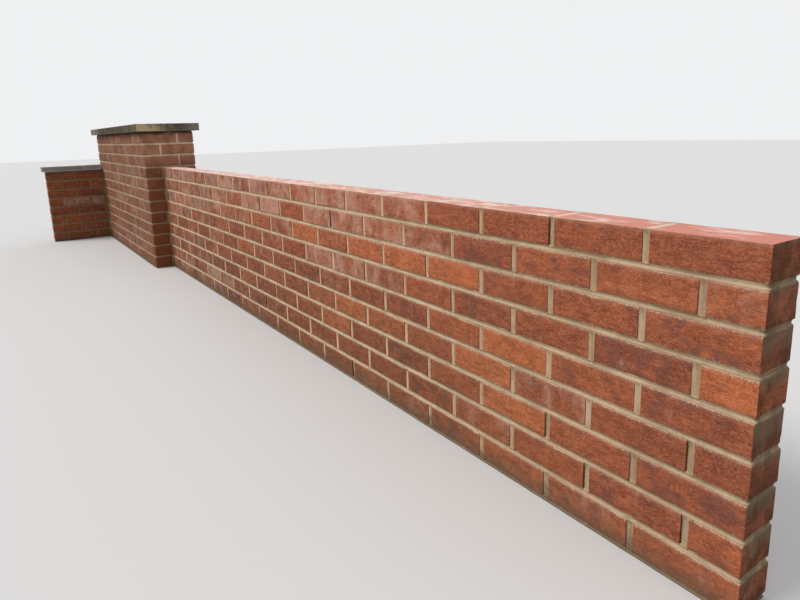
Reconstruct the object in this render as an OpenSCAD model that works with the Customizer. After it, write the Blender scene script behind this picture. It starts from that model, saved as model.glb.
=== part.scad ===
// Garden wall of brick: a long low wall one skin thick, the tall pier it runs up to and a short return wall.
// X runs along the low wall towards its stop end, and the seen face of the wall looks towards -Y.
// The origin is at ground level, in the middle of the plan.

/* [Bricks and mortar] */
// Length of a whole brick
brick_l = 215; // [200:1:240]
// Width of a brick, which is the thickness of the low wall
brick_w = 102.5; // [90:0.5:110]
// Height of a brick
brick_h = 65; // [50:1:80]
// Thickness of the mortar in the beds and upright joints
joint = 10; // [6:1:14]
// Depth of the mortar behind the brick faces
joint_recess = 3; // [1:0.5:6]

/* [Low wall] */
// Whole bricks in the length of the low wall
low_bricks = 17; // [6:1:20]
// Courses in the low wall
low_courses = 9; // [5:1:10]

/* [Pier] */
// Whole bricks in the length of the tall pier, beside the one laid across its end
pier_bricks = 8; // [4:1:10]
// Courses in the pier
pier_courses = 12; // [11:1:15]
// Coping slabs on the pier, side by side
pier_slabs = 5; // [3:1:8]
// Width of the pier's coping slabs, across the pier
pier_coping_w = 400; // [370:5:450]

/* [Return wall] */
// Whole bricks in the length of the return wall
return_bricks = 2; // [1:1:4]
// Courses in the return wall
return_courses = 8; // [4:1:9]
// Width of the return wall's coping slab
return_coping_w = 150; // [140:5:200]
// Thickness of the return wall's coping slab
return_coping_t = 45; // [35:1:60]

/* [Coping] */
// Thickness of the pier's coping slabs
pier_coping_t = 50; // [35:1:75]
// Width of the drip groove under each overhanging edge, which is half as deep
drip = 6; // [3:0.5:8]
// Distance from the slab's edge to the drip groove
drip_edge = 8; // [6:1:10]

/* [Hidden] */

brick_pitch = brick_l + joint;
course_h = brick_h + joint;
half_bat = (brick_l - joint) / 2;
low_len = low_bricks * brick_pitch;
pier_len = pier_bricks * brick_pitch + brick_w;
pier_w = brick_l + joint + brick_w;
pier_h = pier_courses * course_h;
return_h = return_courses * course_h;
return_len = return_bricks * brick_pitch;
// The low wall meets the middle of the pier's end
pier_front = -(pier_w - brick_w) / 2;
pier_overhang = (pier_coping_w - pier_w) / 2;
return_overhang = (return_coping_w - brick_w) / 2;
slab_l = (pier_len + 2 * pier_overhang - (pier_slabs - 1) * joint) / pier_slabs;
slab_pitch = slab_l + joint;
// Corner of the pier's row of slabs: far end, seen side and underside
slabs_x = -pier_len - pier_overhang;
slabs_y = pier_front - pier_overhang;
slabs_z = pier_h + joint;
// Middle of the plan, measured from the low wall's seen face at the pier's end
mid_x = (low_len - pier_len - pier_overhang) / 2;
mid_y = (pier_front - return_len - return_overhang + pier_front + pier_w + pier_overhang) / 2;
// Slack that lets a cut run past the face it opens
cut = 1;

// A row of bricks laid end to end along X, which together fill the length run
module brick_row(bricks, run, depth) {
    each_l = (run - (bricks - 1) * joint) / bricks;
    for (k = [0 : bricks - 1])
        translate([k * (each_l + joint), 0, joint])
            cube([each_l, depth, brick_h]);
}

// One course of a wall one skin thick, in stretcher bond, from the upright joint at x = 0 to the stop end.
// A whole course ends in a whole brick, and the courses between them begin and end with half bats.
module skin_course(bricks, whole) {
    run = bricks * brick_pitch;
    // Mortar: the bed, the upright joints and the joint to the pier
    translate([0, joint_recess, 0])
        cube([run - joint_recess, brick_w - 2 * joint_recess, course_h]);
    if (whole) {
        translate([joint, 0, 0])
            brick_row(bricks, run - joint, brick_w);
    } else {
        translate([joint, 0, 0])
            brick_row(1, half_bat, brick_w);
        translate([2 * joint + half_bat, 0, 0])
            brick_row(bricks - 1, (bricks - 1) * brick_pitch - joint, brick_w);
        translate([run - half_bat, 0, 0])
            brick_row(1, half_bat, brick_w);
    }
}

// Half of a pier course: stretchers along one long face, and a brick laid across the end that they leave free
module pier_half() {
    translate([0, 0, joint])
        cube([brick_w, brick_l, brick_h]);
    translate([brick_w + joint, 0, 0])
        brick_row(pier_bricks, pier_len - brick_w - joint, brick_w);
}

// One course of the pier: the two halves turn about its middle, on a core of mortar and hidden brick
module pier_bond() {
    translate([joint_recess, joint_recess, 0])
        cube([pier_len - 2 * joint_recess, pier_w - 2 * joint_recess, course_h]);
    pier_half();
    translate([pier_len, pier_w, 0])
        rotate([0, 0, 180])
            pier_half();
}

module low_wall_course(i) {
    color("indianred")
        translate([0, 0, (i - 1) * course_h])
            skin_course(low_bricks, i % 2 == 1);
}

// The bond turns over from course to course, so the bricks across the ends change sides
module pier_course(i) {
    color("firebrick")
        translate([-pier_len, pier_front, (i - 1) * course_h])
            if (i % 2 == 1)
                pier_bond();
            else
                translate([0, pier_w, 0])
                    mirror([0, 1, 0])
                        pier_bond();
}

// The return wall leaves the pier's seen face, flush with the pier's far end.
// Its courses stand level with the pier's, and a whole one ends in a whole brick at its stop end.
module return_course(i) {
    color("brown")
        translate([-pier_len, pier_front, (i - 1) * course_h])
            rotate([0, 0, -90])
                skin_course(return_bricks, i % 2 == 0);
}

// A flat slab with a drip groove under each edge that runs along X
module coping_slab(length, width, thickness) {
    difference() {
        cube([length, width, thickness]);
        for (y = [drip_edge, width - drip_edge - drip])
            translate([-cut, y, -cut])
                cube([length + 2 * cut, drip, drip / 2 + cut]);
    }
}

module pier_coping(i) {
    color("darkgray")
        translate([slabs_x + (i - 1) * slab_pitch, slabs_y, slabs_z])
            coping_slab(slab_l, pier_coping_w, pier_coping_t);
}

// Mortar under the pier's slabs
module pier_coping_bed() {
    color("tan")
        translate([-pier_len + joint_recess, pier_front + joint_recess, pier_h])
            cube([pier_len - 2 * joint_recess, pier_w - 2 * joint_recess, joint]);
}

// Mortar in the upright joints between the pier's slabs
module pier_coping_joints() {
    color("tan")
        for (i = [1 : pier_slabs - 1])
            translate([slabs_x + i * slab_pitch - joint, slabs_y + joint_recess, slabs_z])
                cube([joint, pier_coping_w - 2 * joint_recess, pier_coping_t - joint_recess]);
}

module return_coping() {
    color("gray")
        translate([-pier_len - return_overhang, pier_front, return_h + joint])
            rotate([0, 0, -90])
                coping_slab(return_len + return_overhang, return_coping_w, return_coping_t);
}

module return_coping_bed() {
    color("tan")
        translate([-pier_len + joint_recess, pier_front - return_len + joint_recess, return_h])
            cube([brick_w - 2 * joint_recess, return_len - joint_recess, joint]);
}

translate([-mid_x, -mid_y, 0]) {
    for (i = [1 : low_courses])
        low_wall_course(i);
    for (i = [1 : pier_courses])
        pier_course(i);
    for (i = [1 : return_courses])
        return_course(i);
    for (i = [1 : pier_slabs])
        pier_coping(i);
    pier_coping_bed();
    pier_coping_joints();
    return_coping_bed();
    return_coping();
}
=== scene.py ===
# Brick garden wall: every packed course is dressed with single worn bricks and tooled mortar,
# and the coping slabs get their worn edges, drip grooves and weathering.
import bpy
import bmesh
import math
import random
from mathutils import Matrix, Vector, noise


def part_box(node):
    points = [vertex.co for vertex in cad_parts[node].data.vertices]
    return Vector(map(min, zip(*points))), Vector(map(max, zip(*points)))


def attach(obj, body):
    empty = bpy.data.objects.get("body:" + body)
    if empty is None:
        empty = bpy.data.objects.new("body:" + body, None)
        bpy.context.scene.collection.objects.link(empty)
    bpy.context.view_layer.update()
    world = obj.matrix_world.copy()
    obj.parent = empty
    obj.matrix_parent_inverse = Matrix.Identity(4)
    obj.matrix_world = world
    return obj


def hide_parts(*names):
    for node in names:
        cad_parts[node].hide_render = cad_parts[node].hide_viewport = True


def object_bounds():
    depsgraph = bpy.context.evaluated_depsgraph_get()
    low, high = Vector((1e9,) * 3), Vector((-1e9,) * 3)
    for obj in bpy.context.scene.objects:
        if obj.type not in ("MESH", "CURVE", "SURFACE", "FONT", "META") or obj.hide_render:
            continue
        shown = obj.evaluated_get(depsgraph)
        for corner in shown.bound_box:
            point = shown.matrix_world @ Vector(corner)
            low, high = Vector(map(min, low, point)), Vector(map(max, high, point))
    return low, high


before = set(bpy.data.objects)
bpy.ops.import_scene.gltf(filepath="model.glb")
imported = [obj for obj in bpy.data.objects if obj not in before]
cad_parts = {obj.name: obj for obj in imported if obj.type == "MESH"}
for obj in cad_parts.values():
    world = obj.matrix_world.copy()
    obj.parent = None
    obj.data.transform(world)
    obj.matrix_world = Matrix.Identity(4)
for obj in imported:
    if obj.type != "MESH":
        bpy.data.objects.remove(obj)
cadLow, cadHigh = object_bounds()
mm = 0.001
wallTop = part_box("low_wall_course_9")[1].z


def meshOf(bm, name):
    mesh = bpy.data.meshes.new(name)
    bm.to_mesh(mesh)
    bm.free()
    return mesh


def inScene(name, data):
    made = bpy.data.objects.new(name, data)
    bpy.context.collection.objects.link(made)
    return made


# Camera, light and floor
camera = {
    "place": (3.3139, -0.8105, 0.8585),
    "yaw": -33.83, "pitch": 11.92, "roll": -1.69,   # degrees
    "lens": 27.23, "sensor": 36.0, "shiftUp": -0.05, "clip": (0.05, 200.0),
}
studio = {
    "sky": (0.67, 0.68, 0.70), "backdrop": (0.86, 0.87, 0.88),
    "lamp": 1.75, "lampSoft": 24.0, "lampFrom": (-0.24, -0.66, 0.70), "lampColour": (1.0, 0.985, 0.96),
    "floorSeen": (0.70, 0.695, 0.685), "floorBounce": (0.40, 0.39, 0.375), "floorReach": 30.0,
    "floorRough": 0.9, "floorShine": 0.1,
}


def makeCamera():
    yaw, pitch, roll = (math.radians(camera[k]) for k in ("yaw", "pitch", "roll"))
    ahead = Vector((-math.cos(yaw) * math.cos(pitch), -math.sin(yaw) * math.cos(pitch), -math.sin(pitch)))
    level = Vector((-math.sin(yaw), math.cos(yaw), 0.0))
    rise = level.cross(ahead)
    right = math.cos(roll) * level + math.sin(roll) * rise
    top = math.cos(roll) * rise - math.sin(roll) * level
    made = inScene("wallCamera", bpy.data.cameras.new("wallCamera"))
    made.data.lens = camera["lens"]
    made.data.sensor_width = camera["sensor"]
    made.data.shift_y = camera["shiftUp"]
    made.data.clip_start, made.data.clip_end = camera["clip"]
    turn = Matrix((right, top, -ahead)).transposed().to_4x4()
    made.matrix_world = Matrix.Translation(camera["place"]) @ turn
    bpy.context.scene.camera = made


# Helpers for shader nodes. Each value is a number or a socket, and a new node goes into its sockets' tree.
def node(tree, kind, inputs=None, **settings):
    made = tree.nodes.new("ShaderNode" + kind)
    for key, value in settings.items():
        setattr(made, key, value)
    for key, value in (inputs or {}).items():
        socket = made.inputs[key]
        if isinstance(value, bpy.types.NodeSocket):
            tree.links.new(value, socket)
        else:   # a colour gets its alpha here
            socket.default_value = value + (1.0,) if socket.type == "RGBA" else value
    return made


def treeOf(values):
    return next(value.id_data for value in values if isinstance(value, bpy.types.NodeSocket))


def calc(operation, first, *others):
    # Works from left to right through all its values
    for other in others:
        first = node(treeOf((first, other)), "Math", {0: first, 1: other}, operation=operation).outputs[0]
    return first


def plus(*values):
    return calc("ADD", *values)


def minus(a, b):
    return calc("SUBTRACT", a, b)


def times(*values):
    return calc("MULTIPLY", *values)


def most(*values):
    return calc("MAXIMUM", *values)


def without(mask, share=1.0):
    # What a mask leaves over
    return minus(1.0, times(mask, share))


def swing(value, amount, middle=0.5):
    return times(minus(value, middle), amount)


def weighted(*pairs):
    return plus(*[times(value, share) for value, share in pairs])


def spread(value, low, high, toLow=0.0, toHigh=1.0):
    # Smooth step of a value between two limits, which may stand in falling order
    inputs = {"Value": value, "From Min": low, "From Max": high, "To Min": toLow, "To Max": toHigh}
    return node(value.id_data, "MapRange", inputs, interpolation_type="SMOOTHSTEP").outputs["Result"]


def mixed(factor, a, b, kind="MIX"):
    return node(factor.id_data, "Mix", {0: factor, 6: a, 7: b}, data_type="RGBA", blend_type=kind).outputs[2]


def painted(colour, mask, paint, share):
    return mixed(times(mask, share), colour, paint)


def vectors(operation, a, b):
    return node(treeOf((a, b)), "VectorMath", {0: a, 1: b}, operation=operation).outputs[0]


def absolute(vector):
    return node(vector.id_data, "VectorMath", {0: vector}, operation="ABSOLUTE").outputs[0]


def parts(vector):
    return node(vector.id_data, "SeparateXYZ", {0: vector}).outputs[:]


def cloudy(vector, scale, detail=2.0, rough=0.5, twist=0.0, stretch=None):
    spot = vectors("MULTIPLY", vector, stretch) if stretch else vector
    inputs = {"Vector": spot, "Scale": scale, "Detail": detail, "Roughness": rough, "Distortion": twist}
    return node(vector.id_data, "TexNoise", inputs).outputs["Fac"]


def holes(vector, scale):
    inputs = {"Vector": vector, "Scale": scale, "Randomness": 1.0}
    return node(vector.id_data, "TexVoronoi", inputs).outputs["Distance"]


def newGroup(name, takes):
    # An input that starts at None is a vector
    tree = bpy.data.node_groups.new(name, "ShaderNodeTree")
    for title, start in takes.items():
        kind = "NodeSocketVector" if start is None else "NodeSocketFloat"
        socket = tree.interface.new_socket(title, in_out="INPUT", socket_type=kind)
        if start is not None:
            socket.default_value = start
    return tree, tree.nodes.new("NodeGroupInput").outputs


def giveOut(tree, values):
    for title in values:
        tree.interface.new_socket(title, in_out="OUTPUT", socket_type="NodeSocketFloat")
    out = tree.nodes.new("NodeGroupOutput")
    for title, value in values.items():
        tree.links.new(value, out.inputs[title])
    return tree


def placed(group, inputs):
    return node(treeOf(inputs.values()), "Group", inputs, node_tree=group).outputs


# Effects that the materials share
claySteps = (61.7, 83.1, 47.9)   # the wear of a brick and the marks on its face shift together


def ownSpot(given, steps):
    # Each brick and slab reads the noise in a place of its own
    seed = given["Seed"]
    offset = node(seed.id_data, "VectorMath", {0: steps, "Scale": seed}, operation="SCALE").outputs[0]
    return vectors("ADD", given["Local"], offset)


def edgeGaps(given):
    # How far a point lies inside its block's faces, along X, Y and Z
    return parts(vectors("SUBTRACT", given["Half"], absolute(given["Local"])))


def firedClayGroup():
    # Wire-cut face of a brick: broad and fine shade, sooty kiln marks, drag lines, pits and the relief
    tree, given = newGroup("firedClay", {"Local": None, "Half": None, "Seed": 0.0, "Burn": 0.3})
    spot = ownSpot(given, claySteps)
    broad = cloudy(spot, 13.0, 3.0, 0.6, 0.4)
    patch = cloudy(spot, 17.0, 4.0, 0.62, 0.5, (1.0, 1.0, 1.4))
    mottle = cloudy(spot, 95.0, 4.0, 0.66, 0.3, (0.8, 0.8, 1.3))
    freckle = cloudy(spot, 300.0, 2.0, 0.6, 0.0, (0.6, 0.6, 1.3))
    grain = cloudy(spot, 640.0, 1.0, 0.5)
    blotch = cloudy(spot, 44.0, 4.0, 0.70, 0.2, (0.75, 0.75, 1.6))
    lines = cloudy(spot, 1.0, 2.0, 0.65, 0.0, (85.0, 85.0, 420.0))
    wide = cloudy(spot, 1.0, 3.0, 0.7, 0.0, (34.0, 34.0, 150.0))
    crease = cloudy(spot, 1.0, 1.0, 0.5, 0.6, (38.0, 38.0, 190.0))
    pits = times(spread(holes(spot, 120.0), 0.22, 0.09), spread(cloudy(spot, 47.0), 0.50, 0.64))
    pits = most(pits, spread(crease, 0.73, 0.80))
    # Soot lies in the middle of the face, because the ends were stacked against other bricks
    fromEnd = plus(edgeGaps(given)[0], swing(broad, 0.09))
    inside = spread(fromEnd, 0.0, 0.045, 0.10, 0.0)
    edge = minus(0.68, times(given["Burn"], 0.27))
    veil = minus(minus(patch, edge), inside)
    veil = spread(plus(veil, swing(mottle, 0.20)), -0.05, 0.11)
    speckle = spread(weighted((freckle, 0.6), (mottle, 0.4)), 0.44, 0.54, 0.10, 1.0)
    fine = weighted((freckle, 0.36), (grain, 0.24), (blotch, 0.40))
    height = weighted(
        (lines, 0.30), (wide, 0.45), (mottle, 0.55), (grain, 0.20), (freckle, 0.30), (pits, -0.80))
    return giveOut(tree, {
        "Shade": spread(broad, 0.28, 0.72), "Mottle": spread(mottle, 0.30, 0.70),
        "Drag": spread(weighted((lines, 0.50), (wide, 0.50)), 0.30, 0.70), "Fine": spread(fine, 0.40, 0.60),
        "Soot": times(veil, speckle), "Grit": spread(freckle, 0.56, 0.68), "Pits": pits, "Relief": height})


def arrisGroup():
    # How near a point lies to an edge of its brick, and the flecks of mortar and small voids along the edges
    tree, given = newGroup("arris", {"Local": None, "Half": None, "Seed": 0.0, "Reach": 0.004})
    x, y, z = edgeGaps(given)
    nearest, farthest = calc("MINIMUM", x, y, z), most(x, y, z)
    middle = minus(minus(plus(x, y, z), nearest), farthest)
    spot = ownSpot(given, (29.3, 71.9, 17.7))
    fine = cloudy(spot, 330.0, 3.0, 0.75)
    patchy = cloudy(spot, 90.0, 2.0, 0.6)
    slow = cloudy(spot, 9.0, 2.0, 0.5)
    # Flecks thin out away from the upper edge, and hug the lower edge and the ends
    flecks = plus(weighted((fine, 0.62), (patchy, 0.38)), swing(slow, 0.36))
    top, height = parts(given["Half"])[2], parts(given["Local"])[2]
    upper, lower = minus(top, height), plus(top, height)
    smears = []
    for distance, start, thinning in ((upper, 0.446, 30.0), (lower, 0.485, 48.0), (most(x, y), 0.50, 50.0)):
        level = plus(start, times(distance, thinning))
        smears.append(spread(minus(flecks, level), -0.020, 0.030))
    waver = swing(patchy, 0.014)
    band = spread(calc("MINIMUM", upper, lower), 0.0055, 0.002)
    rare = spread(cloudy(spot, 38.0), 0.50, 0.60)
    return giveOut(tree, {
        "Arris": spread(plus(middle, swing(fine, 0.009, 0.40)), given["Reach"], 0.0), "Smear": most(*smears),
        "Head": spread(plus(upper, waver), 0.013, 0.0), "Foot": spread(plus(lower, waver), 0.011, 0.0),
        "Void": times(spread(holes(spot, 150.0), 0.26, 0.12), band, rare)})


def limeFilmGroup():
    # White film that lime leaves on new brickwork: cloudy patches with runs down the face
    tree, given = newGroup("limeFilm", {"Position": None, "Amount": 0.3})
    position = given["Position"]
    cloud = cloudy(position, 12.0, 5.0, 0.66, 0.3)
    runs = cloudy(position, 1.0, 4.0, 0.66, 0.4, (27.0, 27.0, 8.0))
    dust = spread(cloudy(position, 160.0, 2.0, 0.6), 0.25, 0.62, 0.55, 1.0)
    edge = minus(0.67, times(given["Amount"], 0.32))
    film = spread(minus(weighted((cloud, 0.66), (runs, 0.34)), edge), -0.08, 0.16)
    return giveOut(tree, {"Film": times(film, dust)})


def weatherGroup():
    # Dark growth, pale rubbed patches, grain and relief of cast stone left out in the rain
    tree, given = newGroup("weather", {"Position": None, "Growth": 0.5})
    position = given["Position"]
    cloud = cloudy(position, 9.0, 5.0, 0.66, 0.4)
    spots = cloudy(position, 46.0, 3.0, 0.62)
    grain = cloudy(position, 330.0, 2.0, 0.6)
    edge = minus(0.68, times(given["Growth"], 0.34))
    return giveOut(tree, {
        "Dark": spread(minus(weighted((cloud, 0.6), (spots, 0.4)), edge), -0.06, 0.10),
        "Pale": spread(cloudy(position, 15.0, 4.0, 0.6), 0.54, 0.70), "Grain": spread(grain, 0.30, 0.70),
        "Relief": weighted((grain, 0.5), (spots, 0.9))})


def pierPaintedLightGroup():
    # Painted shade in the inner corner with the low wall, a painted shadow beneath the coping, and painted
    # light on the pier above the low wall
    corner = Vector((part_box("pier_course_1")[1].x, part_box("low_wall_course_1")[0].y, 0.0))
    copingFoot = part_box("pier_coping_1")[0].z
    tree, given = newGroup("pierPaintedLight", {"Position": None})
    position = given["Position"]
    z = parts(position)[2]
    cloud = cloudy(position, 12.0, 4.0, 0.65)
    along, across = parts(absolute(vectors("SUBTRACT", position, corner)))[:2]
    away = minus(plus(along, across), times(cloud, 0.10))
    low = spread(plus(z, times(away, 0.8)), 0.85, 0.47)
    fringe = plus(z, swing(cloud, 0.035))
    patches = spread(cloudy(position, 16.0, 4.0, 0.65), 0.35, 0.60, 0.45, 1.0)
    return giveOut(tree, {
        "Corner": times(spread(away, 0.26, 0.0), low),
        "CopingShadow": spread(fringe, copingFoot - 0.026, copingFoot - 0.004),
        "LitEnd": times(patches, spread(z, wallTop - 0.02, wallTop + 0.08))})


clay, arris, limeFilm, weather = firedClayGroup(), arrisGroup(), limeFilmGroup(), weatherGroup()
pierPaintedLight = pierPaintedLightGroup()
print("shared effects ready")


# Materials
def startMaterial(name):
    made = bpy.data.materials.new(name)
    made.use_nodes = True
    tree = made.node_tree
    tree.nodes.clear()
    shader = node(tree, "BsdfPrincipled", {"IOR": 1.45, "Specular IOR Level": 0.25})
    tree.links.new(shader.outputs[0], tree.nodes.new("ShaderNodeOutputMaterial").inputs[0])
    return made, tree, shader


def finishSurface(tree, shader, colour, rough, height, depth):
    bump = node(tree, "Bump", {"Strength": 1.0, "Distance": depth, "Height": height})
    for name, value in (("Base Color", colour), ("Roughness", rough), ("Normal", bump.outputs[0])):
        tree.links.new(value, shader.inputs[name])


def attribute(tree, name, output="Vector"):
    return node(tree, "Attribute", attribute_name=name).outputs[output]


def surface(tree):
    # The place, how far along and how high it is, and the way that the surface faces
    position = node(tree, "TexCoord").outputs["Object"]
    x, y, z = parts(position)
    return position, x, z, parts(node(tree, "NewGeometry").outputs["Normal"])


def dirtAndPaintedLight(colour, position, z, facing, looks):
    # Splashes of soil at the foot and grime, then painted shade on the stop end, or on the pier painted
    # shade in the inner corner, a painted shadow beneath the coping and painted light on its end
    splash = plus(z, times(cloudy(position, 55.0, 4.0, 0.65), -0.10))
    colour = painted(colour, spread(splash, *looks["splashReach"]), looks["splash"], looks["splashShare"])
    grime = placed(weather, {"Position": position, "Growth": looks["grime"]})["Dark"]
    colour = painted(colour, grime, looks["grimeColour"], looks["grimeShare"])
    seen = spread(facing[0], 0.55, 0.85)
    end, pierMarks = looks["end"], looks["pierMarks"]
    # Painted shade darkens the stop end
    if end:
        cloud = spread(cloudy(position, 16.0, 4.0, 0.65), 0.35, 0.60, 0.35, end["share"])
        colour = mixed(times(seen, cloud), colour, end["colour"])
    if pierMarks:
        masks = placed(pierPaintedLight, {"Position": position})
        # Painted light on the end of the pier above the low wall
        colour = painted(colour, times(masks["LitEnd"], seen), pierMarks["bleach"], pierMarks["bleachShare"])
        # Painted shade in the inner corner with the low wall
        colour = painted(colour, masks["Corner"], pierMarks["corner"], pierMarks["cornerShare"])
        # Painted shadow beneath the coping
        colour = painted(colour, masks["CopingShadow"], pierMarks["shelter"], pierMarks["shelterShare"])
    return colour


def brickMaterial(name, looks):
    made, tree, shader = startMaterial(name)
    position, x, z, facing = surface(tree)
    local, half = attribute(tree, "brickLocal"), attribute(tree, "brickHalf")
    seed = attribute(tree, "brickSeed", "Fac")
    tone, burn, bloom = parts(attribute(tree, "brickLook"))
    face = placed(clay, {"Local": local, "Half": half, "Seed": seed, "Burn": burn})
    edges = placed(arris, {"Local": local, "Half": half, "Seed": seed, "Reach": looks["wornReach"]})
    film = placed(limeFilm, {"Position": position, "Amount": bloom})["Film"]
    # Each brick's own tone, then the shade, mottling and drag lines of its face, and dark and pale flecks
    tone = plus(tone, swing(face["Shade"], 0.26), swing(face["Mottle"], 0.28), swing(face["Drag"], 0.42))
    ramp = node(tree, "ValToRGB", {"Fac": tone})
    stops = looks["clay"]
    for index in range(1, len(stops) - 1):
        ramp.color_ramp.elements.new(index / (len(stops) - 1))
    for element, stop in zip(ramp.color_ramp.elements, stops):
        element.color = stop + (1.0,)
    fleck = spread(x, 2.3, 0.9, looks["fineShare"], looks["fineShare"] * looks["fineFar"])
    colour = mixed(times(without(face["Fine"]), fleck), ramp.outputs[0], looks["fineDark"], "MULTIPLY")
    colour = mixed(times(face["Fine"], fleck), colour, looks["finePale"], "ADD")
    # Among these marks, pits and creases are painted dark: painted shade in them
    for mask, paint, share in (
            (face["Soot"], "soot", "sootShare"), (face["Grit"], "grit", "gritShare"),
            (face["Pits"], "pit", "pitShare"), (edges["Arris"], "worn", "wornShare"),
            (edges["Head"], "film", "headShare"), (edges["Foot"], "foot", "footShare"),
            (film, "film", "filmShare")):
        colour = painted(colour, mask, looks[paint], looks[share])
    if looks["rising"]:
        # Painted shade darkens the lower courses away from the stop end, and the far end up to its top
        waver = swing(cloudy(position, 9.0, 4.0, 0.6), 0.16)
        damp = times(spread(plus(z, waver), 0.62, 0.06), spread(x, 3.1, 1.5))
        damp = most(damp, spread(x, 0.8, -0.3, 0.0, 0.58))
        colour = mixed(damp, colour, looks["rising"], "MULTIPLY")
    # Upward faces are painted paler, which stands for the sky light on them, and smeared, least at the stop
    # end
    newest, oldest = spread(x, 2.1, 2.75), spread(x, 1.7, 0.8)
    dragged = cloudy(position, 1.0, 3.0, 0.62, 0.4, (9.0, 22.0, 9.0))
    dragged = plus(dragged, times(minus(oldest, newest), 0.07))
    litAndSmearedTop = mixed(newest, looks["top"], looks["topNew"])
    litAndSmearedTop = painted(litAndSmearedTop, face["Mottle"], looks["topDark"], 0.30)
    litAndSmearedTop = mixed(spread(dragged, 0.42, 0.66), litAndSmearedTop, looks["topSmear"])
    upward = spread(facing[2], 0.50, 0.80)
    colour = painted(colour, upward, litAndSmearedTop, looks["topShare"])
    # Mortar smears the edges, least at the far end and along the very top
    rim = spread(z, wallTop - 0.016, wallTop - 0.006, 1.0, looks["rimSmear"])
    smear = times(edges["Smear"], without(upward), looks["smearShare"], spread(x, 0.9, 2.3, 0.45, 1.0), rim)
    colour = mixed(smear, colour, looks["smear"])
    # Voids along the edges are painted dark: painted shade in them
    colour = painted(colour, edges["Void"], looks["pit"], looks["voidShare"])
    colour = dirtAndPaintedLight(colour, position, z, facing, looks)
    if looks["endRun"]:
        # Mortar has run down the stop end from each bed, most on the lower bricks
        streaks = cloudy(position, 1.0, 4.0, 0.66, 0.0, (44.0, 44.0, 24.0))
        run = plus(swing(streaks, 0.11), parts(local)[2], swing(seed, 0.034, 0.60))
        run = times(spread(run, -0.010, 0.034), spread(facing[0], 0.55, 0.85))
        colour = mixed(times(run, spread(z, 0.66, 0.45, 0.20, 0.62)), colour, looks["endRun"])
    rough = spread(face["Drag"], 0.0, 1.0, 0.94, 0.80)
    finishSurface(tree, shader, colour, rough, face["Relief"], looks["bump"])
    return made


def mortarMaterial(name, looks):
    made, tree, shader = startMaterial(name)
    position, x, z, facing = surface(tree)
    newest = spread(x, 1.7, 2.5)
    sand = cloudy(position, 520.0, 2.0, 0.7)
    lumps = cloudy(position, 130.0, 3.0, 0.6)
    slow = cloudy(position, 8.0, 5.0, 0.68)
    patchy = spread(cloudy(position, 27.0, 4.0, 0.68), 0.38, 0.60, 0.40, 1.0)
    colour = mixed(spread(slow, 0.36, 0.64), looks["damp"], looks["dry"])
    shade = weighted((sand, 0.6), (lumps, 0.4))
    colour = mixed(spread(shade, 0.36, 0.62, 0.45, 0.0), colour, looks["sand"])
    film = placed(limeFilm, {"Position": position, "Amount": looks["filmAmount"]})["Film"]
    colour = painted(colour, film, looks["film"], 0.5)
    # Painted highlight on the lower edge of a bed, which faces up, and painted shade on the part beneath the
    # upper brick, which faces down
    lip = times(spread(facing[2], 0.0, 0.55), patchy, looks["lipShare"], without(newest, looks["lipDamp"]))
    colour = mixed(lip, colour, looks["lip"])
    under = times(spread(facing[2], -0.02, -0.35), looks["underShare"], plus(0.55, times(newest, 0.45)))
    colour = mixed(under, colour, looks["under"])
    # Painted highlight on the side of an upright that looks towards the stop end, least on the newest bricks
    sideHighlight = times(spread(facing[0], 0.0, 0.22), spread(facing[0], 0.94, 0.74), without(newest, 0.68))
    sideHighlight = times(sideHighlight, spread(x, cadHigh.x - 0.015, cadHigh.x - 0.035), looks["sideShare"])
    colour = mixed(times(sideHighlight, plus(0.35, times(patchy, 0.65))), colour, looks["side"])
    # Upward faces are painted paler, which stands for the sky light on them
    colour = painted(colour, spread(facing[2], 0.80, 0.97), looks["top"], looks["topShare"])
    colour = dirtAndPaintedLight(colour, position, z, facing, looks)
    height = weighted((sand, 0.45), (lumps, 0.9))
    finishSurface(tree, shader, colour, spread(sand, 0.3, 0.7, 0.96, 0.86), height, looks["bump"])
    return made


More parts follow.
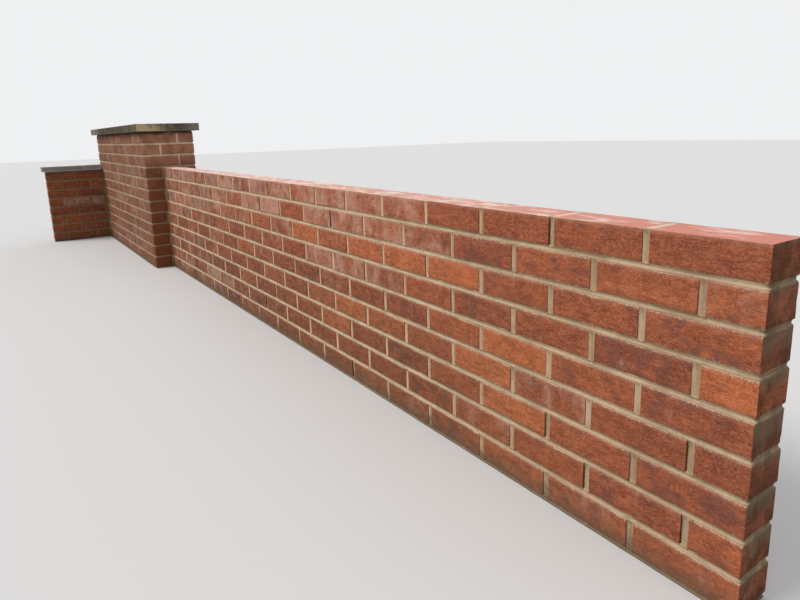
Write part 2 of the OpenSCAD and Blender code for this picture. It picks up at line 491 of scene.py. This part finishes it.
def slabMaterial(name, looks):
    made, tree, shader = startMaterial(name)
    position, x, z, facing = surface(tree)
    local, half = attribute(tree, "slabLocal"), attribute(tree, "slabHalf")
    seed = attribute(tree, "slabSeed", "Fac")
    skin = placed(weather, {"Position": position, "Growth": looks["growth"]})
    edges = placed(arris, {"Local": local, "Half": half, "Seed": seed, "Reach": looks["wornReach"]})
    broad = cloudy(position, 6.0, 4.0, 0.62)
    colour = mixed(spread(broad, 0.38, 0.62), looks["stone"], looks["buff"])
    colour = painted(colour, skin["Pale"], looks["pale"], 0.55)
    colour = painted(colour, skin["Grain"], looks["pale"], 0.25)
    other = mixed(spread(broad, 0.36, 0.64), looks["otherSlab"], looks["otherPale"])
    colour = painted(colour, seed, other, looks["slabSpread"])
    # The end is cleaner towards the seen side and painted paler there, partly as painted light, and darkest
    # at the back and along the top
    across, up = parts(local)[1:]
    patches = swing(cloudy(position, 30.0, 4.0, 0.66), 0.32)
    back = spread(plus(across, times(up, 1.3), patches, swing(skin["Grain"], 0.06)), -0.15, 0.12)
    end = spread(facing[0], 0.55, 0.85)
    cleanAndLit, dull = times(end, without(back)), times(end, back)
    colour = painted(colour, cleanAndLit, looks["endClean"], looks["endShare"])
    grey = mixed(spread(across, 0.07, 0.17), looks["endDull"], looks["endFar"])
    colour = painted(colour, dull, grey, looks["dullShare"])
    # Growth spares the slabs of the other stone and those near the end
    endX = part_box("pier_coping_5")[1].x
    nearEnd = spread(x, endX - 0.22, endX - 0.02)
    dark = times(skin["Dark"], without(cleanAndLit), without(dull, 0.6))
    dark = times(dark, without(nearEnd, 0.65), without(seed, 0.75))
    colour = painted(colour, dark, looks["dark"], looks["growthShare"])
    # Rain washes the top paler, and the arrises are rubbed; on the grey slab they are near white, partly a
    # painted highlight
    colour = painted(colour, spread(facing[2], 0.4, 0.9), looks["top"], looks["topShare"])
    colour = painted(colour, edges["Arris"], looks["worn"], looks["wornShare"])
    rough = spread(skin["Grain"], 0.0, 1.0, 0.95, 0.82)
    finishSurface(tree, shader, colour, rough, skin["Relief"], looks["bump"])
    return made


freshBrick = {
    "clay": [(0.192, 0.061, 0.038), (0.265, 0.076, 0.037), (0.344, 0.099, 0.043), (0.415, 0.125, 0.050),
             (0.545, 0.162, 0.063)],
    "fineDark": (0.52, 0.41, 0.32), "finePale": (0.150, 0.051, 0.027), "fineShare": 0.56, "fineFar": 1.7,
    "soot": (0.130, 0.054, 0.047), "sootShare": 0.80, "grit": (0.50, 0.255, 0.170), "gritShare": 0.26,
    "pit": (0.085, 0.034, 0.026), "pitShare": 0.62, "voidShare": 0.8,
    "worn": (0.46, 0.19, 0.11), "wornShare": 0.35, "wornReach": 0.0035,
    "film": (0.60, 0.365, 0.272), "filmShare": 0.66, "headShare": 0.20,
    "foot": (0.20, 0.095, 0.052), "footShare": 0.34, "rising": (0.70, 0.84, 0.86),
    "top": (0.71, 0.370, 0.290), "topNew": (0.66, 0.255, 0.195), "topSmear": (0.86, 0.665, 0.580),
    "topDark": (0.56, 0.22, 0.155), "topShare": 0.95,
    "smear": (0.57, 0.425, 0.278), "smearShare": 0.80, "rimSmear": 0.25,
    "splash": (0.125, 0.084, 0.052), "splashShare": 0.60, "splashReach": (0.015, -0.045),
    "grime": 0.30, "grimeShare": 0.18, "grimeColour": (0.12, 0.06, 0.042), "bump": 0.0011,
    "end": {"share": 0.90, "colour": (0.083, 0.027, 0.007)}, "endRun": (0.185, 0.143, 0.095),
    "pierMarks": None,
}
pierBrick = dict(
    freshBrick,
    clay=[(0.140, 0.052, 0.030), (0.185, 0.065, 0.034), (0.238, 0.083, 0.040), (0.290, 0.103, 0.047),
          (0.345, 0.129, 0.059)],
    fineDark=(0.45, 0.38, 0.32), finePale=(0.115, 0.055, 0.031),
    film=(0.42, 0.27, 0.185), filmShare=0.58, headShare=0.12, footShare=0.30, topShare=0.3,
    grime=0.52, grimeShare=0.30, grimeColour=(0.11, 0.060, 0.036),
    smear=(0.44, 0.31, 0.20), smearShare=0.9, rimSmear=1.0, rising=None, end=None, endRun=None,
    pierMarks={"bleach": (0.50, 0.240, 0.145), "bleachShare": 0.62, "corner": (0.195, 0.062, 0.021),
               "cornerShare": 0.72, "shelter": (0.040, 0.018, 0.009), "shelterShare": 0.85})
returnBrick = dict(
    pierBrick,
    clay=[(0.190, 0.058, 0.025), (0.250, 0.073, 0.029), (0.312, 0.092, 0.034), (0.376, 0.118, 0.042),
          (0.440, 0.152, 0.058)],
    finePale=(0.11, 0.040, 0.018), film=(0.46, 0.34, 0.27), filmShare=0.66, grimeShare=0.25,
    smear=(0.27, 0.15, 0.08), smearShare=0.7, pierMarks=None)
tooledMortar = {
    "damp": (0.345, 0.238, 0.138), "dry": (0.550, 0.396, 0.248), "sand": (0.30, 0.205, 0.118),
    "film": (0.58, 0.45, 0.32), "filmAmount": 0.30, "top": (0.80, 0.64, 0.50), "topShare": 0.75,
    "lip": (0.72, 0.530, 0.350), "lipShare": 0.90, "lipDamp": 0.55, "under": (0.20, 0.137, 0.075),
    "underShare": 0.70, "side": (0.86, 0.505, 0.340), "sideShare": 0.95,
    "splash": (0.15, 0.105, 0.065), "splashShare": 0.85, "splashReach": (0.012, -0.040),
    "grime": 0.25, "grimeShare": 0.2, "grimeColour": (0.18, 0.12, 0.07), "bump": 0.0009,
    "end": {"share": 0.88, "colour": (0.130, 0.098, 0.055)}, "pierMarks": None,
}
pierMortar = dict(
    tooledMortar, damp=(0.36, 0.242, 0.152), dry=(0.46, 0.315, 0.200),
    lip=(0.60, 0.42, 0.295), lipShare=0.66, lipDamp=0.0, under=(0.17, 0.095, 0.053), underShare=0.75,
    side=(0.66, 0.43, 0.31), sideShare=0.45, topShare=0.2, grime=0.55, grimeShare=0.35, end=None,
    pierMarks={"bleach": (0.86, 0.640, 0.450), "bleachShare": 0.62, "corner": (0.26, 0.160, 0.080),
               "cornerShare": 0.66, "shelter": (0.030, 0.014, 0.007), "shelterShare": 0.92})
returnMortar = dict(
    pierMortar, damp=(0.17, 0.090, 0.044), dry=(0.27, 0.155, 0.080), film=(0.40, 0.28, 0.19),
    lip=(0.32, 0.20, 0.12), under=(0.10, 0.05, 0.026), sideShare=0.0, pierMarks=None)
copingStone = {
    "stone": (0.088, 0.070, 0.036), "buff": (0.140, 0.109, 0.058), "pale": (0.26, 0.205, 0.118),
    "otherSlab": (0.165, 0.134, 0.103), "otherPale": (0.27, 0.222, 0.172), "slabSpread": 0.90,
    "dark": (0.040, 0.035, 0.020), "growth": 0.80, "growthShare": 0.86,
    "top": (0.34, 0.31, 0.255), "topShare": 0.35, "worn": (0.39, 0.31, 0.195), "wornShare": 0.60,
    "wornReach": 0.005, "bump": 0.0012, "endClean": (0.53, 0.418, 0.265), "endShare": 0.92,
    "endDull": (0.086, 0.081, 0.067), "endFar": (0.240, 0.218, 0.175), "dullShare": 0.90,
}
# The grey slab's near-white top and wide rubbed arrises are partly a painted highlight along its top
greySlab = dict(
    copingStone, stone=(0.235, 0.215, 0.195), buff=(0.31, 0.282, 0.255), pale=(0.42, 0.395, 0.37),
    slabSpread=0.0, dark=(0.11, 0.100, 0.090), growth=0.40, growthShare=0.55, top=(0.78, 0.77, 0.75),
    topShare=0.9, worn=(0.74, 0.72, 0.70), wornShare=0.75, wornReach=0.009, endShare=0.0, dullShare=0.0)
materials = {name: make(name, looks) for name, make, looks in (
    ("freshBrick", brickMaterial, freshBrick), ("pierBrick", brickMaterial, pierBrick),
    ("returnBrick", brickMaterial, returnBrick), ("tooledMortar", mortarMaterial, tooledMortar),
    ("pierMortar", mortarMaterial, pierMortar), ("returnMortar", mortarMaterial, returnMortar),
    ("copingStone", slabMaterial, copingStone), ("greySlab", slabMaterial, greySlab))}
print("materials ready")


# Bricks
brick = {"length": 215 * mm, "width": 102.5 * mm, "height": 65 * mm, "joint": 10 * mm, "shy": 0.3 * mm}
freshWear = {"arris": 1.9 * mm, "ragged": 1.6 * mm, "chip": 13 * mm, "chipFrom": 0.42, "chipScale": 34.0,
             "raggedScale": 93.0, "dent": 0.45 * mm, "dentScale": 19.0, "rough": 0.18 * mm,
             "roughScale": 131.0, "lean": 0.0022, "slip": 0.5 * mm, "endGap": 1.7 * mm}
oldWear = dict(freshWear, arris=2.2 * mm, ragged=2.0 * mm, dent=0.7 * mm, lean=0.003, slip=0.8 * mm,
               endGap=0.4 * mm)
brickLayers = {"brickLocal": "vector", "brickHalf": "vector", "brickLook": "vector", "brickSeed": "float"}
onFace = 0.999   # share of the way out from which a point lies on its block's face
counts = {}


def blankBlock(cells, gather):
    # A block two units across, cut into cells that gather towards its edges
    bm = bmesh.new()
    bmesh.ops.create_cube(bm, size=2.0)
    for axis in range(3):
        # Edges that still cross the whole block along this axis
        crossing = [e for e in bm.edges if abs(e.verts[0].co[axis] - e.verts[1].co[axis]) > 1.5]
        if cells[axis] > 1:
            bmesh.ops.subdivide_edges(bm, edges=crossing, cuts=cells[axis] - 1, use_grid_fill=True)
    for vert in bm.verts:
        for axis in range(3):
            reach = abs(vert.co[axis])
            vert.co[axis] = math.copysign(1.0 - (1.0 - min(reach, 1.0)) ** gather[axis], vert.co[axis])
    return meshOf(bm, "blank")


blanks = {
    "fine": blankBlock((30, 6, 8), (1.4, 2.4, 2.0)),
    "fineBat": blankBlock((16, 6, 8), (1.5, 2.4, 2.0)),
    "plain": blankBlock((12, 5, 5), (1.4, 1.8, 1.8)),
    "plainBat": blankBlock((7, 5, 5), (1.5, 1.8, 1.8)),
}


def layersOf(bm, names):
    made = {}
    for name, kind in names.items():
        store = bm.verts.layers.float_vector if kind == "vector" else bm.verts.layers.float
        made[name] = store.new(name)
    return made


def wornPoint(point, unit, half, shift, wear):
    # Dents push the faces in, and every edge is rubbed round with chips here and there
    spot = point + shift
    chip = max(0.0, noise.noise(spot * wear["chipScale"]) - wear["chipFrom"])
    ragged = wear["ragged"] * (0.5 + 0.5 * noise.noise(spot * wear["raggedScale"]))
    radius = wear["arris"] + ragged + wear["chip"] * chip
    dent = sum(wear[name] * (1.0 + noise.noise(spot * wear[name + "Scale"])) for name in ("dent", "rough"))
    worn = point.copy()
    over = Vector((0.0, 0.0, 0.0))
    for axis in range(3):
        if abs(unit[axis]) > onFace:
            worn[axis] -= math.copysign(dent, unit[axis])
        over[axis] = max(0.0, abs(worn[axis]) - (half[axis] - radius))
    length = over.length
    if length > radius:
        for axis in range(3):
            worn[axis] -= math.copysign(over[axis] * (1.0 - radius / length), worn[axis])
    return worn


def ownShift(seed, steps):
    return Vector([seed * step for step in steps])


def layBrick(bm, layers, blank, middle, half, turned, wear, look, rng):
    first = len(bm.verts)
    bm.from_mesh(blanks[blank])
    bm.verts.ensure_lookup_table()
    seed = rng.random()
    shift = ownShift(seed, claySteps)
    swung, tipped = (Matrix.Rotation(rng.gauss(0.0, wear["lean"]), 3, axis) for axis in "ZY")
    turn = (Matrix.Rotation(math.pi / 2, 3, "Z") if turned else Matrix.Identity(3)) @ (swung @ tipped)
    slip = Vector((rng.uniform(-1, 1), rng.uniform(-1, 1), 0.0)) * wear["slip"]
    small = Vector([h - brick["shy"] for h in half])
    small.x -= wear["endGap"] * (0.6 + 0.8 * seed)
    for vert in bm.verts[first:]:
        unit = vert.co.copy()
        point = Vector([unit[axis] * small[axis] for axis in range(3)])
        vert[layers["brickLocal"]] = point
        vert[layers["brickHalf"]] = half
        vert[layers["brickLook"]] = look
        vert[layers["brickSeed"]] = seed
        vert.co = middle + slip + turn @ wornPoint(point, unit, small, shift, wear)


# Mortar
tooled = {"edge": 0.7 * mm, "upperEdge": 2.8 * mm, "middle": 3.9 * mm, "flush": 1.0 * mm, "ragged": 0.5 * mm,
          "lap": 2.2 * mm, "sideLap": 3.6 * mm, "sideGap": 6.6 * mm, "sideEdge": 1.5 * mm,
          "openGap": 3.0 * mm, "openFrom": 0.93, "corner": 1.6 * mm, "lapSlope": 0.7, "runOut": 9 * mm,
          "least": 0.15 * mm, "waveScale": 42.0, "grainScale": 150.0, "grainShare": 0.7}
barBlanks = {}


def mortarBar(bm, low, high, cells, across, openSides, seed):
    # A bar of mortar whose open sides are tooled hollow across its narrow way
    if cells not in barBlanks:
        barBlanks[cells] = blankBlock(cells, (1.0, 1.0, 1.0 if across == 2 else 2.0))
    first = len(bm.verts)
    bm.from_mesh(barBlanks[cells])
    bm.verts.ensure_lookup_table()
    middle, half = (low + high) / 2, (high - low) / 2
    gap, lap = brick["joint"] / 2 if across == 2 else tooled["sideGap"], tooled["lap"]
    shift = ownShift(seed, (37.1, 11.3, 5.7))
    for vert in bm.verts[first:]:
        unit = vert.co.copy()
        point = middle + Vector([unit[axis] * half[axis] for axis in range(3)])
        spot = point + shift
        offset = unit[across] * half[across]
        reach = max(-1.0, min(1.0, offset / gap))
        edge = tooled["edge"]
        if across == 2:
            edge = tooled["upperEdge"] if reach > 0 else edge
        elif reach < 0:
            edge = tooled["sideEdge"] * (0.5 + seed)
            if seed > tooled["openFrom"]:   # a few uprights have come away from the brick
                edge += tooled["openGap"]
        hollow = edge + (tooled["middle"] - edge) * (1.0 - reach * reach)
        if across != 2:   # an upright runs out into the bed above it
            near = max(0.0, 1.0 - max(0.0, half.z - lap - unit.z * half.z) / tooled["runOut"])
            hollow += (tooled["edge"] - hollow) * near * near * (3.0 - 2.0 * near)
        hollow += max(0.0, abs(offset) - gap) * tooled["lapSlope"]
        atCorner = sum(unit[axis] * sign > onFace for axis, sign in openSides if axis != 2) > 1
        corner = tooled["corner"] if atCorner else 0.0
        for axis, sign in openSides:
            if unit[axis] * sign > onFace:
                wobble = noise.noise(spot * tooled["waveScale"])
                wobble += tooled["grainShare"] * noise.noise(spot * tooled["grainScale"])
                depth = tooled["flush"] if axis == 2 else hollow + corner
                point[axis] -= sign * max(tooled["least"], depth + tooled["ragged"] * wobble)
        vert.co = point


def addPiece(bm, name, material, replaced, place=None):
    if place is not None:
        bmesh.ops.transform(bm, matrix=place, verts=bm.verts)
    for face in bm.faces:
        face.smooth = True
    mesh = meshOf(bm, name)
    mesh.materials.append(materials[material])
    made = inScene(name, mesh)
    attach(made, "root")
    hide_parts(*replaced)
    counts[name] = sum(len(p.vertices) - 2 for p in mesh.polygons)


# Walls one brick thick: the low wall and the return wall
def clamped(value, low=0.0, high=1.0):
    return min(high, max(low, value))


def lowHaze(course, fromEnd):
    # The upper courses carry a pale film away from the stop end, and so does the far end, most at its foot
    away, upper, far = clamped((fromEnd - 2) / 4), clamped((course - 5.6) / 2.4), clamped((fromEnd - 10) / 3)
    foot = clamped((3.5 - course) / 1.5) * clamped((fromEnd - 8) / 3)
    return 0.44 * away * upper * (1.0 - 0.45 * far) + 0.20 * far + 0.08 * foot


def returnHaze(course, fromEnd):
    # One course of the return wall is limed, but for the brick at its stop end
    return 0.58 if course == 5 and fromEnd > 0 else 0.0


# Bricks that stand out: their tone, burn and bloom, and their places,
# each of them as (course from the ground, brick from the stop end)
standOut = [
    # Bright, glowing with soot, and warm
    ((0.88, 0.08, 0.05), [(6, 0), (7, 3), (7, 4), (7, 5), (7, 7), (5, 2), (4, 3), (3, 2), (3, 6), (4, 6)]),
    ((0.58, 0.62, -0.05), [(8, 2), (7, 0)]),
    ((0.58, 0.18, 0.05), [(8, 1), (6, 4), (5, 3), (2, 2), (7, 9)]),
    # Burnt, and half burnt
    ((0.36, 1.00, 0.10), [(6, 1)]),
    ((0.42, 0.74, 0.16), [(5, 0), (5, 4), (6, 3), (8, 3), (2, 4), (3, 4), (3, 0), (3, 9), (5, 7)]),
    # Plain
    ((0.42, 0.12, -0.10), [(9, 0), (9, 1), (9, 2), (9, 3), (7, 1), (6, 2),
                           (4, 1), (2, 8), (3, 5), (4, 8), (6, 8), (8, 8)]),
    # Limed, and white with lime
    ((0.52, 0.25, 0.64), [(9, 4), (9, 5), (9, 6), (9, 7), (8, 5), (8, 6), (8, 7), (6, 6), (6, 7), (2, 12)]),
    ((0.46, 0.10, 0.84), [(8, 9), (2, 13)]),
]
lowWall = {"label": "lowWall", "node": "low_wall_course_%d", "bricks": 17, "courses": 9, "wholeOn": 1,
           "turned": False, "brick": "freshBrick", "mortar": "tooledMortar", "blank": "fine",
           "bedCells": (270, 4, 6), "uprightCells": (6, 4, 9), "wear": freshWear, "seed": 5, "haze": lowHaze,
           "tone": 0.46, "toneSpread": 0.14, "toneLimits": (0.12, 0.80), "burn": 0.38, "burnSpread": 0.20,
           "bloom": 0.16, "bloomSpread": 0.12,
           "marked": {spot: look for look, spots in standOut for spot in spots}}
returnWall = dict(lowWall, label="return", node="return_course_%d", bricks=2, courses=8, wholeOn=0,
                  turned=True, brick="returnBrick", mortar="returnMortar", blank="plain",
                  bedCells=(30, 4, 4), wear=oldWear, seed=71, haze=returnHaze,
                  tone=0.42, toneSpread=0.15, burn=0.35, bloom=0.10, marked={})


def ownLook(wall, rng):
    # Tone, burn and bloom of one brick
    tone = clamped(rng.gauss(wall["tone"], wall["toneSpread"]), *wall["toneLimits"])
    burn = max(0.0, rng.gauss(wall["burn"], wall["burnSpread"]))
    return Vector((tone, burn, max(0.0, rng.gauss(wall["bloom"], wall["bloomSpread"]))))


def skinCourse(wall, course):
    # Yields (start along X, length, blank, bricks from the stop end) of each brick in stretcher bond
    length, joint = brick["length"], brick["joint"]
    bat = (length - joint) / 2
    whole = course % 2 == wall["wholeOn"]
    sizes = [length] * wall["bricks"] if whole else [bat] + [length] * (wall["bricks"] - 1) + [bat]
    along = joint
    for number, size in enumerate(sizes):
        yield along, size, wall["blank"] + ("Bat" if size < length else ""), len(sizes) - 1 - number
        along += size + joint


def skinPlace(wall, course):
    low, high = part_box(wall["node"] % course)
    if wall["turned"]:
        return Matrix.Translation((low.x, high.y, low.z)) @ Matrix.Rotation(-math.pi / 2, 4, "Z")
    return Matrix.Translation(low)


def buildSkin(wall):
    width, height, joint = brick["width"], brick["height"], brick["joint"]
    lap, sideLap = tooled["lap"], tooled["sideLap"]
    for course in range(1, wall["courses"] + 1):
        rng = random.Random(wall["seed"] * 100 + course)
        stones, beds = bmesh.new(), bmesh.new()
        layers = layersOf(stones, brickLayers)
        joints = [0.0]
        for along, size, blank, fromEnd in skinCourse(wall, course):
            look = ownLook(wall, rng)
            look.z += wall["haze"](course, fromEnd)
            look = Vector(wall["marked"].get((course, fromEnd), look))
            middle = Vector((along + size / 2, width / 2, joint + height / 2))
            half = Vector((size / 2, width / 2, height / 2))
            layBrick(stones, layers, blank, middle, half, False, wall["wear"], look, rng)
            joints.append(along + size)
        start = Vector((0.0, 0.0, 0.0 if course == 1 else -lap))
        end = Vector((wall["bricks"] * (brick["length"] + joint), width, joint + lap))
        mortarBar(beds, start, end, wall["bedCells"], 2, [(1, -1), (1, 1), (0, 1)], rng.random())
        # Upright joints, which are open at the top of the wall
        top = course == wall["courses"]
        openSides = [(1, -1), (1, 1)] + ([(2, 1)] if top else [])
        high = joint + height + (0.0 if top else lap)
        for x in joints[:-1]:
            start, end = Vector((x - sideLap, 0.0, joint - lap)), Vector((x + joint + sideLap, width, high))
            mortarBar(beds, start, end, wall["uprightCells"], 0, openSides, rng.random())
        replaced, place = [wall["node"] % course], skinPlace(wall, course)
        addPiece(stones, f"{wall['label']}Bricks{course}", wall["brick"], replaced, place)
        addPiece(beds, f"{wall['label']}Mortar{course}", wall["mortar"], replaced, place)


buildSkin(lowWall)
print("low wall built")
buildSkin(returnWall)
print("return wall built")


# Pier
pier = {"courses": 12, "bricks": 8, "seed": 33, "tone": 0.46, "toneSpread": 0.18, "toneLimits": (0.1, 0.9),
        "burn": 0.30, "burnSpread": 0.2, "bloom": 0.32, "bloomSpread": 0.2,
        "rim": 24 * mm, "coreInset": 19.2 * mm, "longCells": (100, 1, 4), "shortCells": (1, 16, 4),
        "uprightCells": ((5, 1, 6), (1, 5, 6))}   # on the long faces and on the ends


def pierBond():
    # Half of a course: (middle x, y, turned) of each brick, and (start x, y, across) of each upright joint
    long, wide, joint = brick["length"], brick["width"], brick["joint"]
    laid, uprights = [(wide / 2, long / 2, True)], [(wide, 0.0, 0)]
    for number in range(pier["bricks"]):
        start = wide + joint + number * (long + joint)
        laid.append((start + long / 2, wide / 2, False))
        if number:
            uprights.append((start - joint, 0.0, 0))
    uprights.append((0.0, long, 1))
    return laid, uprights


def onPier(point, length, width, turnedRound, mirrored):
    # The second half is the first one turned about the middle, and even courses are mirrored
    x, y, z = point
    if turnedRound:
        x, y = length - x, width - y
    return Vector((x, width - y if mirrored else y, z))


def ringOfMortar(bm, length, width, low, high, seed):
    # Bars along the four sides
    rim, long, short = pier["rim"], pier["longCells"], pier["shortCells"]
    for x, y, endX, endY, cells, sides in (
            (0, 0, length, rim, long, [(1, -1), (0, -1), (0, 1)]),
            (0, width - rim, length, width, long, [(1, 1), (0, -1), (0, 1)]),
            (0, rim / 2, rim, width - rim / 2, short, [(0, -1)]),
            (length - rim, rim / 2, length, width - rim / 2, short, [(0, 1)])):
        mortarBar(bm, Vector((x, y, low)), Vector((endX, endY, high)), cells, 2, sides, seed)


def solidCore(bm, length, width, height):
    # A block that fills the middle of the ring
    inset = pier["coreInset"]
    made = bmesh.ops.create_cube(bm, size=1.0)["verts"]
    bmesh.ops.scale(bm, vec=(length - 2 * inset, width - 2 * inset, height), verts=made)
    bmesh.ops.translate(bm, vec=(length / 2, width / 2, height / 2), verts=made)


def buildPier():
    joint, height, lap = brick["joint"], brick["height"], tooled["lap"]
    half = Vector((brick["length"], brick["width"], height)) / 2
    laid, uprights = pierBond()
    for course in range(1, pier["courses"] + 1):
        low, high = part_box(f"pier_course_{course}")
        length, width = high.x - low.x, high.y - low.y
        rng = random.Random(pier["seed"] * 100 + course)
        stones, beds = bmesh.new(), bmesh.new()
        layers = layersOf(stones, brickLayers)
        for turnedRound in (False, True):
            place = length, width, turnedRound, course % 2 == 0
            for x, y, turned in laid:
                look, middle = ownLook(pier, rng), onPier((x, y, joint + height / 2), *place)
                layBrick(stones, layers, "plain", middle, half, turned, oldWear, look, rng)
            for x, y, across in uprights:
                start = Vector((x, y, joint - lap))
                size = Vector((pier["rim"], pier["rim"], height + 2 * lap))
                start[across] -= lap
                size[across] = joint + 2 * lap
                corners = onPier(start, *place), onPier(start + size, *place)
                start, end = (Vector([pick(pair) for pair in zip(*corners)]) for pick in (min, max))
                outward = (1 if turnedRound else -1) * (-1 if across == 0 and course % 2 == 0 else 1)
                cells = pier["uprightCells"][across]
                mortarBar(beds, start, end, cells, across, [(1 - across, outward)], rng.random())
        ringOfMortar(beds, length, width, 0.0 if course == 1 else -lap, joint + lap, rng.random())
        solidCore(beds, length, width, joint + height)
        place, replaced = Matrix.Translation(low), [f"pier_course_{course}"]
        addPiece(stones, f"pierBricks{course}", "pierBrick", replaced, place)
        addPiece(beds, f"pierMortar{course}", "pierMortar", replaced, place)


buildPier()
print("pier built")


# Coping slabs
coping = {"cell": 26 * mm, "drip": 6 * mm, "dripDepth": 3 * mm, "dripEdge": 8 * mm, "dripSlope": 0.4 * mm,
          "otherStone": (0.95, 0.05, 0.0, 0.12, 0.20),   # share of it in each of the pier's slabs
          "edgeRows": (2.5 * mm, 7.0 * mm), "bedGrow": 3 * mm, "jointGrow": 2 * mm, "jointRise": 1 * mm,
          "jointSink": 0.5 * mm, "jointCells": (6, 22, 6), "returnCells": (4, 30, 6), "inDrip": 0.99}
slabWear = dict(freshWear, arris=2.0 * mm, ragged=2.2 * mm, chip=16 * mm, chipFrom=0.40, chipScale=26.0,
                dent=0.5 * mm, rough=0.25 * mm)


def cutAcross(bm, axis, place):
    normal = Vector((0, 0, 0))
    normal[axis] = 1.0
    geometry = bm.verts[:] + bm.edges[:] + bm.faces[:]
    bmesh.ops.bisect_plane(bm, geom=geometry, plane_co=normal * place, plane_no=normal)


def buildSlab(name, material, nodeName, alongY, seed, otherStone):
    low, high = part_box(nodeName)
    half = (high - low) / 2
    if alongY:
        half = Vector((half.y, half.x, half.z))
    bm = bmesh.new()
    layers = layersOf(bm, {"slabLocal": "vector", "slabHalf": "vector", "slabSeed": "float"})
    bmesh.ops.create_cube(bm, size=2.0)
    bmesh.ops.scale(bm, vec=half, verts=bm.verts)
    near, far, slope = coping["dripEdge"], coping["dripEdge"] + coping["drip"], coping["dripSlope"]
    for side in (-1, 1):
        for inset in (near, near + slope, far - slope, far):
            cutAcross(bm, 1, side * (half.y - inset))
    # Cells for the wear, and two rows of them close to every outer edge
    for axis in range(3):
        for inset in coping["edgeRows"]:
            for side in (-1, 1):
                cutAcross(bm, axis, side * (half[axis] - inset))
    for axis in range(3):
        inner = 2 * (half[axis] - coping["edgeRows"][1])
        pieces = max(1, round(inner / coping["cell"]))
        for number in range(1, pieces):
            cutAcross(bm, axis, -inner / 2 + inner * number / pieces)
    shift = ownShift(seed, (13.1, 5.3, 9.7))
    for vert in bm.verts:
        point = vert.co.copy()
        unit = Vector([point[axis] / half[axis] for axis in range(3)])
        inDrip = unit.z < -coping["inDrip"] and near + slope / 2 < half.y - abs(point.y) < far - slope / 2
        vert[layers["slabLocal"]] = point
        vert[layers["slabHalf"]] = half
        vert[layers["slabSeed"]] = otherStone
        vert.co = wornPoint(point, unit, half, shift, slabWear)
        if inDrip:
            vert.co.z += coping["dripDepth"]
    place = Matrix.Translation((low + high) / 2)
    if alongY:
        place = place @ Matrix.Rotation(-math.pi / 2, 4, "Z")
    addPiece(bm, name, material, [nodeName], place)


def buildSlabBeds():
    lap, grow, joint = tooled["lap"], coping["bedGrow"], brick["joint"]
    low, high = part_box("pier_coping_bed")
    length, width = high.x - low.x + 2 * grow, high.y - low.y + 2 * grow
    bm = bmesh.new()
    ringOfMortar(bm, length, width, -lap, joint + lap, 0.37)
    solidCore(bm, length, width, joint)
    place = Matrix.Translation(low - Vector((grow, grow, 0)))
    addPiece(bm, "pierCopingBed", "pierMortar", ["pier_coping_bed"], place)
    bm = bmesh.new()
    low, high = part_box("pier_coping_joints")
    slabs = [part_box(f"pier_coping_{number}") for number in range(1, len(coping["otherStone"]) + 1)]
    for number, (before, after) in enumerate(zip(slabs, slabs[1:]), 1):
        start = Vector((before[1].x - lap, low.y - coping["jointGrow"], before[0].z + coping["jointRise"]))
        end = Vector((after[0].x + lap, high.y + coping["jointGrow"], before[1].z - coping["jointSink"]))
        mortarBar(bm, start, end, coping["jointCells"], 0, [(1, -1), (1, 1), (2, 1)], 0.1 * number)
    addPiece(bm, "pierCopingJoints", "pierMortar", ["pier_coping_joints"])
    bm = bmesh.new()
    low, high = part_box("return_coping_bed")
    low, high = low - Vector((grow, grow, lap)), high + Vector((grow, 0, lap))
    mortarBar(bm, low, high, coping["returnCells"], 2, [(0, -1), (0, 1), (1, -1)], 0.81)
    addPiece(bm, "returnCopingBed", "returnMortar", ["return_coping_bed"])


for number, share in enumerate(coping["otherStone"], 1):
    packed = f"pier_coping_{number}"
    buildSlab(f"pierCoping{number}", "copingStone", packed, False, number * 7, share)
buildSlab("returnCoping", "greySlab", "return_coping", True, 91, 0.0)
buildSlabBeds()
largest = max(counts, key=counts.get)
print("copings built; triangles in all", sum(counts.values()), "largest", largest, counts[largest])


# Studio
def directRays(tree):
    rays = node(tree, "LightPath").outputs
    return most(rays["Is Camera Ray"], rays["Is Glossy Ray"], rays["Is Transmission Ray"])


def makeWorld():
    world = bpy.data.worlds.new("studio")
    world.use_nodes = True
    tree = world.node_tree
    tree.nodes.clear()
    colour = mixed(directRays(tree), studio["sky"], studio["backdrop"])
    back = node(tree, "Background", {"Color": colour, "Strength": 1.0})
    tree.links.new(back.outputs[0], tree.nodes.new("ShaderNodeOutputWorld").inputs[0])
    bpy.context.scene.world = world


def makeLamp():
    lamp = inScene("softLamp", bpy.data.lights.new("softLamp", "SUN"))
    lamp.data.energy = studio["lamp"]
    lamp.data.angle = math.radians(studio["lampSoft"])
    lamp.data.color = studio["lampColour"]
    lamp.rotation_euler = Vector(studio["lampFrom"]).to_track_quat("Z", "Y").to_euler()


def makeFloor():
    bm = bmesh.new()
    bmesh.ops.create_grid(bm, x_segments=2, y_segments=2, size=studio["floorReach"])
    mesh = meshOf(bm, "floor")
    paint, tree, shader = startMaterial("palePaint")
    colour = mixed(directRays(tree), studio["floorBounce"], studio["floorSeen"])
    tree.links.new(colour, shader.inputs["Base Color"])
    shader.inputs["Roughness"].default_value = studio["floorRough"]
    shader.inputs["Specular IOR Level"].default_value = studio["floorShine"]
    mesh.materials.append(paint)
    inScene("floor", mesh)


makeWorld()
makeLamp()
makeFloor()
makeCamera()
bpy.context.scene.view_settings.view_transform = "Standard"

print("scene ready")
